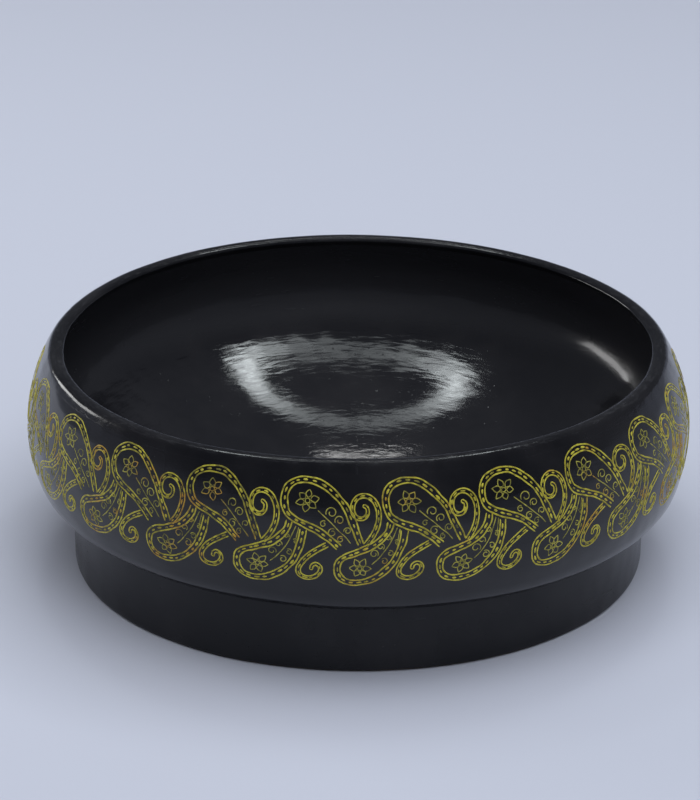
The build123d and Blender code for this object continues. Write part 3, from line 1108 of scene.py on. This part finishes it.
@dataclass
class Ornament:
    """The painted band: every repeat of the motif, as raised strokes of paint on the wall."""

    profile: Profile
    form: HandForm
    motif: Motif = field(default_factory=Motif)
    repeats: int = 22
    first_upper: float = 8.3          # degrees from the front to the first upper blossom
    drawn_pitch: float = 37.13        # millimetres
    drawn_rise: float = 35.2          # millimetres
    outline_width: float = 0.68
    border_gap: float = 2.3           # between the middles of a border's two outlines
    tendril_gap: float = 1.8
    dash_width: float = 0.98
    dash_length: float = 1.75
    dash_period: float = 3.0
    fine_width: float = 0.46
    petal_width: float = 0.44
    thickness: float = 0.13           # millimetres that the paint stands proud
    sunk: float = 0.06                # how far its edges reach into the lacquer
    petals: int = 6
    seed: int = 2207

    def __post_init__(self) -> None:
        """Set up the random draws and the wander of the hand."""
        self.rng = np.random.default_rng(self.seed)
        self.slow = [Waves(self.seed + n, 0.034, 14) for n in (1, 2)]
        self.quick = [Waves(self.seed + n, 0.0075, 18) for n in (3, 4)]
        self.girth = 2 * np.pi * self.profile.belly_radius
        self.stretch = np.array((
            self.girth / self.repeats / self.drawn_pitch,
            self.profile.rise / self.drawn_rise,
        )) / MM
        self.layers: dict[str, Mesh] = {}
        self.centre = 0.0             # where the repeat being drawn stands, along the belly
        self.warmth = 0.0             # how orange its paint is

    def wander(self, drawn: Points) -> Points:
        """How far the hand strays, in metres, at places on the wall: slow drift plus a tremor."""
        zero = np.zeros(len(drawn))
        place = self.profile.on_wall(drawn, zero)
        slow = np.column_stack([wave.at(place) for wave in self.slow]) * 0.50 * MM
        quick = np.column_stack([wave.at(place) for wave in self.quick]) * 0.10 * MM
        return slow + quick

    def stroke(self, layer: str, line: Points, width: float, load: float = 0.8,
               ends: float = 0.45, lift: float = 1.0) -> None:
        """Lay one stroke of paint along a line.

        The stroke is a low bead: across the line it has five points, the outer two just under
        the lacquer and the middle one highest, and it narrows to rounded ends.

        Args:
            layer: the piece it belongs to.
            line: rows of (along, up), in drawn millimetres, already evenly stepped.
            width: the stroke's width in millimetres.
            load: how full the brush is, 0 to 1.
            ends: the width at the very ends, as a share.
            lift: how high the bead stands, as a share of the paint's thickness.
        """
        rng = self.rng
        travelled = distance_along(line)
        whole = max(travelled[-1], 1e-6)
        phase = rng.uniform(0, 2 * np.pi, 4)
        uneven = 0.10 * np.sin(travelled * 1.3 + phase[0]) + 0.07 * np.sin(travelled * 3.1 + phase[1])
        near_end = np.clip(np.minimum(travelled, whole - travelled) / (0.8 * width), 0.0, 1.0)
        half = 0.5 * width * (1 + uneven) * (ends + (1 - ends) * np.sqrt(near_end))
        level = load + 0.16 * np.sin(travelled * 0.55 + phase[2])
        level = level + 0.12 * np.sin(travelled * 1.9 + phase[3])
        flat = (line * self.stretch) * MM
        flat[:, 0] += self.centre
        flat = flat + self.wander(flat)
        side = across(flat)
        offset = np.array((-1.0, -0.62, 0.0, 0.62, 1.0))
        flank = 0.78 * self.thickness
        height = np.array((-self.sunk, flank, self.thickness, flank, -self.sunk))
        drawn = flat[:, None, :] + side[:, None, :] * (half[:, None] * offset * MM)[..., None]
        swell = 0.8 + 0.2 * near_end + 0.10 * np.sin(travelled * 2.3 + phase[1])
        rise = np.where(height > 0, height * lift * swell[:, None], height) * MM
        points = self.form.bend(self.profile.on_wall(drawn, rise))
        rows, cols = drawn.shape[:2]
        base = np.arange(rows - 1)[:, None] * cols
        near = np.arange(cols)[None, :]
        nxt = (near + 1) % cols
        quads = np.stack((base + near, base + cols + near, base + cols + nxt, base + nxt), axis=-1)
        caps = np.array(((0, 1, 2), (0, 2, 3), (0, 3, 4)))
        last = (rows - 1) * cols
        threes = np.vstack((caps, caps[:, ::-1] + last))
        warmth = self.warmth + rng.normal(0, 0.10)
        self.layers.setdefault(layer, Mesh(layer)).add(
            points, quads, threes,
            load=np.repeat(np.clip(level, 0, 1), cols),
            warmth=np.full(rows * cols, warmth),
        )

    def beside(self, line: Points, offset: Points | float) -> Points:
        """A line that runs offset to the left of another."""
        return line + across(line) * np.reshape(offset, (-1, 1))

    def dashes(self, layer: str, line: Points, width: float, load: float) -> None:
        """Short thick dabs along the middle of a border."""
        travelled = distance_along(line)
        start = self.rng.uniform(0.2, 1.2)
        while start + self.dash_length < travelled[-1]:
            length = self.dash_length * self.rng.uniform(0.72, 1.28)
            wanted = np.linspace(start, min(start + length, travelled[-1]), 4)
            dab = np.column_stack([np.interp(wanted, travelled, line[:, n]) for n in (0, 1)])
            dab = self.beside(dab, self.rng.normal(0, 0.10))
            dab_width = width * self.rng.uniform(0.75, 1.2)
            self.stroke(layer, dab, dab_width, load + self.rng.normal(0, 0.14), 0.5, 0.9)
            start += self.dash_period * self.rng.uniform(0.82, 1.2)

    def border(self, layer: str, points: tuple, gap: float, load: float) -> None:
        """A boteh's border: two outlines with dashes between them."""
        line = smooth_line(np.array(points), 0.42)
        travelled = distance_along(line)
        phase = self.rng.uniform(0, 2 * np.pi, 2)
        drift = 0.10 * np.sin(travelled * 0.35 + phase[0]) + 0.05 * np.sin(travelled + phase[1])
        for side in (-0.5, 0.5):
            self.stroke(layer, self.beside(line, side * gap * (1 + drift)), self.outline_width, load)
        self.dashes(layer, line, self.dash_width, load)

    def tendril(self, layer: str, points: tuple, load: float) -> None:
        """A curled tendril: two outlines that draw together at its tip, with small dashes."""
        line = smooth_line(np.array(points), 0.34)
        share = distance_along(line) / distance_along(line)[-1]
        spread = 0.5 * self.tendril_gap * (1.0 - 0.42 * share**2)
        for side in (-1, 1):
            self.stroke(layer, self.beside(line, side * spread), self.outline_width * 0.92, load)
        tip, reach = line[-3:], spread[-3:]
        beyond = tip[-1] + 0.2 * (tip[-1] - tip[-2])
        turn = np.vstack((self.beside(tip, reach)[-1], beyond, self.beside(tip, -reach)[-1]))
        self.stroke(layer, even_steps(turn, 0.25), self.outline_width * 0.8, load)
        self.dashes(layer, line[: int(len(line) * 0.93)], self.dash_width * 0.70, load)

    def bloom(self, layer: str, centre: tuple, reach: float, load: float) -> None:
        """A blossom of outlined petals round a small ring.

        A petal's half width is its greatest half width times the sine of pi times the share of
        the way out, raised to three quarters, so that it is round at its root and pointed at
        its tip.
        """
        rng = self.rng
        start = rng.uniform(0, 2 * np.pi)
        middle = np.array(centre)
        share = np.concatenate((np.linspace(0, 1, 9), np.linspace(1, 0, 9)[1:]))
        side = np.concatenate((np.ones(9), -np.ones(8)))
        for number in range(self.petals):
            turn = start + 2 * np.pi * number / self.petals + rng.normal(0, 0.07)
            tip = reach * rng.uniform(0.88, 1.08)
            root = reach * 0.27
            half = reach * rng.uniform(0.24, 0.29)
            power = rng.choice((0.62, 0.75, 0.85))
            out = root + (tip - root) * share
            wide = side * half * np.sin(np.pi * share**power)
            way = np.array((np.cos(turn), np.sin(turn)))
            left = np.array((-np.sin(turn), np.cos(turn)))
            petal = middle + out[:, None] * way + wide[:, None] * left
            level = load + rng.normal(0, 0.10)
            self.stroke(layer, even_steps(petal, 0.30), self.petal_width, level, 0.8, 0.8)
        ring_turn = np.linspace(0, 2 * np.pi * 1.04, 12)
        ring = middle + reach * 0.20 * np.column_stack((np.cos(ring_turn), np.sin(ring_turn)))
        self.stroke(layer, even_steps(ring, 0.26), self.petal_width, load, 0.8, 0.8)

    def sprig(self, layer: str, stem: tuple, curls: tuple, load: float) -> None:
        """A fine stem with small spiral curls on both sides.

        A curl starts at its radius from its centre, at the given angle, and winds in: the radius
        falls evenly to a third while the angle turns through one and a fifth turns.
        """
        rng = self.rng
        self.stroke(layer, smooth_line(np.array(stem), 0.42), self.fine_width, load, 0.4, 0.7)
        for along, up, radius, start, sense in curls:
            wind = np.linspace(0.0, 1.0, 26)
            turn = np.radians(start + rng.normal(0, 14))
            turn = turn + sense * wind * 2 * np.pi * rng.uniform(1.0, 1.3)
            size = radius * rng.uniform(1.0, 1.22) * (1.0 - 0.66 * wind**1.3)
            curl = np.column_stack((along + size * np.cos(turn), up + size * np.sin(turn)))
            level = load + rng.normal(0, 0.12)
            self.stroke(layer, even_steps(curl, 0.28), self.fine_width, level, 0.5, 0.7)

    def repeat(self, number: int) -> None:
        """Draw one repeat, with its own small differences."""
        motif, rng = self.motif, self.rng
        angle = np.radians(self.first_upper + 360.0 * number / self.repeats)
        self.centre = float(angle * self.profile.belly_radius)
        self.warmth = float(np.clip(rng.normal(0.36, 0.20), 0.0, 0.9))
        full = float(np.clip(rng.normal(0.72, 0.12), 0.35, 0.95))
        self.border("upper_boteh_strokes", motif.upper_border, self.border_gap, full - 0.05)
        self.border("lower_boteh_strokes", motif.lower_border, self.border_gap, full + 0.05)
        self.tendril("upper_tendril_strokes", motif.upper_tendril, full)
        self.tendril("lower_tendril_strokes", motif.lower_tendril, full + 0.12)
        self.bloom("upper_blossom_strokes", motif.upper_bloom, 4.4, full - 0.10)
        self.bloom("lower_blossom_strokes", motif.lower_bloom, 4.2, full - 0.02)
        self.sprig("upper_sprig_strokes", motif.upper_stem, motif.upper_curls, full - 0.12)
        self.sprig("lower_sprig_strokes", motif.lower_stem, motif.lower_curls, full - 0.06)
        for line in motif.neck_lines:
            neck = smooth_line(np.array(line), 0.4)
            self.stroke("lower_sprig_strokes", neck, self.fine_width, full - 0.2)

    def build(self, finishes: dict) -> list:
        """Draw all the repeats and make a piece of each layer."""
        for number in range(self.repeats):
            self.repeat(number)
        stands_for = {
            "upper_boteh_strokes": ("upper_botehs", Slot.GOLD),
            "lower_boteh_strokes": ("lower_botehs", Slot.GOLD),
            "upper_tendril_strokes": ("upper_tendrils", Slot.GOLD),
            "lower_tendril_strokes": ("lower_tendrils", Slot.GOLD),
            "upper_blossom_strokes": ("upper_blossoms", Slot.FINE),
            "lower_blossom_strokes": ("lower_blossoms", Slot.FINE),
            "upper_sprig_strokes": ("upper_sprigs", Slot.FINE),
            "lower_sprig_strokes": ("lower_sprigs", Slot.FINE),
        }
        pieces = []
        for name, (node, slot) in stands_for.items():
            piece = self.layers[name].piece(finishes["gold" if slot is Slot.GOLD else "fine"])
            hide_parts(node)
            pieces.append(piece)
        return pieces


# ---------------------------------------------------------------- studio


@dataclass(frozen=True)
class Lamp:
    """One soft lamp: its place, what it points at, its two sides in metres, watts and colour."""

    name: str
    place: tuple
    target: tuple
    size: tuple[float, float]
    power: float
    mirrored: bool = True              # a lamp that only fills isn't shown by gloss
    colour: tuple[float, float, float] = (1.0, 1.0, 1.0)

    def hang(self) -> None:
        """Put the lamp in the scene, turned towards its target."""
        light = bpy.data.lights.new(self.name, "AREA")
        light.shape = "RECTANGLE"
        light.size, light.size_y = self.size
        light.energy = self.power
        light.color = self.colour
        lamp = bpy.data.objects.new(self.name, light)
        way = (Vector(self.target) - Vector(self.place)).to_track_quat("-Z", "Y")
        lamp.matrix_world = Matrix.Translation(self.place) @ way.to_matrix().to_4x4()
        lamp.visible_glossy = self.mirrored
        bpy.context.scene.collection.objects.link(lamp)


@dataclass
class Studio:
    """The pale sweep, the lights and the camera."""

    camera_distance: float = 1.3
    camera_rise: float = 25.245        # degrees above the level
    camera_roll: float = 0.33          # degrees
    lens: float = 145.9
    aim: tuple[float, float, float] = (-0.0035, 0.02437, 0.05168)
    floor_reach: float = 3.0
    cove_curve: float = 0.55
    sheet: float = 0.01                # the floor's thickness
    ring_middle: tuple[float, float, float] = (0.02, 0.468, 1.05)
    ring_radii: tuple[float, float] = (0.272, 0.205)
    ring_lamps: int = 18
    ring_lamp_size: float = 0.085
    ring_glow: float = 1.5             # radiance of the ring's faint parts
    ring_flare: float = 5.6           # what its left and right parts add
    strip_glow: float = 9.0
    strip_size: tuple[float, float] = (0.20, 0.028)
    room_glow: float = 0.11
    soft_power: float = 65.0
    sky: tuple[float, float, float] = (0.91, 0.98, 1.0)
    cool: tuple[float, float, float] = (0.90, 0.94, 1.0)

    def floor(self, finish: bpy.types.Material) -> bpy.types.Object:
        """The round floor, with a low cove that turns up at its rim, so that it ends softly.

        It is an outline turned about the axis: a flat run, a quarter circle, and the same line
        back a little lower, so that it is a closed sheet.
        """
        reach, cove, sheet = self.floor_reach, self.cove_curve, self.sheet
        line = chain(run((0.0, 0.0), (reach, 0.0), 24), arc((reach, cove), cove, -90, 0, 16))
        below = arc((reach, cove), cove + sheet, -90, 0, 16)
        outline = chain(run((0.0, -sheet), (reach, -sheet), 4), below, line[::-1])
        piece = turned("pale_floor", outline, None, 96).piece(finish)
        return piece

    def lights(self) -> None:
        """Hang the lamps and light the room faintly.

        The dish mirrors a ring of lamps and a strip behind it. Each one's power is the radiance
        wanted of it times pi times its area. The fill is wide, and gloss doesn't show it.
        """
        side = self.ring_lamp_size
        for number in range(self.ring_lamps):
            turn = 2 * np.pi * number / self.ring_lamps
            spot = np.array(self.ring_middle)
            spot[0] += self.ring_radii[0] * np.cos(turn)
            spot[1] += self.ring_radii[1] * np.sin(turn)
            glow = self.ring_glow + self.ring_flare * np.abs(np.cos(turn)) ** 3
            power = float(glow * np.pi * side**2)
            Lamp(f"ring_lamp_{number}", tuple(spot), (0, 0.08, 0.03), (side, side), power,
                 colour=self.sky).hang()
        wide, deep = self.strip_size
        power = float(self.strip_glow * np.pi * wide * deep)
        fill, cool = self.soft_power, self.cool
        for lamp in (
            Lamp("strip_lamp", (0.0, 1.0, 1.05), (0, 0.04, 0.02), self.strip_size, power),
            Lamp("left_window", (-1.18, 0.62, 0.42), (0, 0, 0.06), (0.80, 0.30), 4.0),
            Lamp("soft_top", (0.5, -0.2, 2.6), (0, 0.1, 0), (3.4, 3.0), fill, False, cool),
            Lamp("soft_front", (0.2, -2.4, 2.0), (0, 0, 0), (2.6, 1.6), 0.35 * fill, False, cool),
        ):
            lamp.hang()
        world = bpy.data.worlds.new("pale_room")
        bpy.context.scene.world = world
        world.use_nodes = True
        ground = world.node_tree.nodes["Background"]
        ground.inputs["Color"].default_value = (0.80, 0.85, 1.0, 1.0)
        ground.inputs["Strength"].default_value = self.room_glow

    def camera(self) -> None:
        """The onlooker's camera."""
        rise = np.radians(self.camera_rise)
        lens = bpy.data.cameras.new("camera")
        lens.lens = self.lens
        lens.sensor_width = 36.0
        camera = bpy.data.objects.new("camera", lens)
        place = Vector((0.0, -self.camera_distance * np.cos(rise), self.camera_distance * np.sin(rise)))
        way = Vector(self.aim) - place
        turn = way.to_track_quat("-Z", "Y").to_matrix().to_4x4()
        roll = Matrix.Rotation(np.radians(self.camera_roll), 4, "Z")
        camera.matrix_world = Matrix.Translation(place) @ turn @ roll
        bpy.context.scene.collection.objects.link(camera)
        bpy.context.scene.camera = camera

    def build(self) -> None:
        """Set the studio up."""
        self.floor(PalePaper().material())
        self.lights()
        self.camera()
        bpy.context.scene.view_settings.view_transform = "Standard"


def main() -> None:
    """Build the bowl in order, then the studio, and report each piece."""
    logging.basicConfig(level=logging.INFO, format="%(message)s")
    Studio().build()
    profile = Profile()
    form = HandForm(profile.belly_height, profile.rim_height, profile.foot_height)
    finishes = {
        "outside": BlackLacquer(
            "outside_lacquer", streak=0.00005, ripple=0.00018, pits=0.2, mirror=0.40
        ).material(),
        # inside: above its dish it is rougher and painted lighter, a painted sheen
        "inside": BlackLacquer(
            "inside_lacquer", streak=0.00010, ripple=0.00011, gloss=0.05, dulled=0.16, pits=0.8,
            streak_turns=9.0, streak_fine=400.0, wall_dulled=0.18,
            deep=(0.0095, 0.0095, 0.0115), thin=(0.0165, 0.016, 0.018), mirror=0.5, wax=0.2,
        ).material(),
        "foot": BlackLacquer(
            "foot_lacquer_finish", streak=0.00006, gloss=0.22, dulled=0.36, mirror=0.30, wax=0.0
        ).material(),
        # the lip's grey rubbed places are partly wear, partly painted highlight
        "lip": BlackLacquer(
            "lip_finish", streak=0.00014, gloss=0.14, dulled=0.36, rubbed_sheen=0.10, mirror=0.36, wax=0.1,
            streak_turns=34.0, streak_fine=420.0,
        ).material(),
        "core": BareCore().material(),
        "gold": BrushPaint("gold_brushwork").material(),
        "fine": BrushPaint(
            "fine_brushwork", body=(0.30, 0.27, 0.04), bright=(0.44, 0.40, 0.07)
        ).material(),
    }
    pieces = Body(profile, form).build(finishes)
    pieces += Foot(profile, form).build(finishes)
    pieces += Ornament(profile, form).build(finishes)
    for piece in pieces:
        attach(piece, "root")
        LOG.info("%s: %d faces", piece.name, len(piece.data.polygons))


if __name__ == "__main__":
    main()
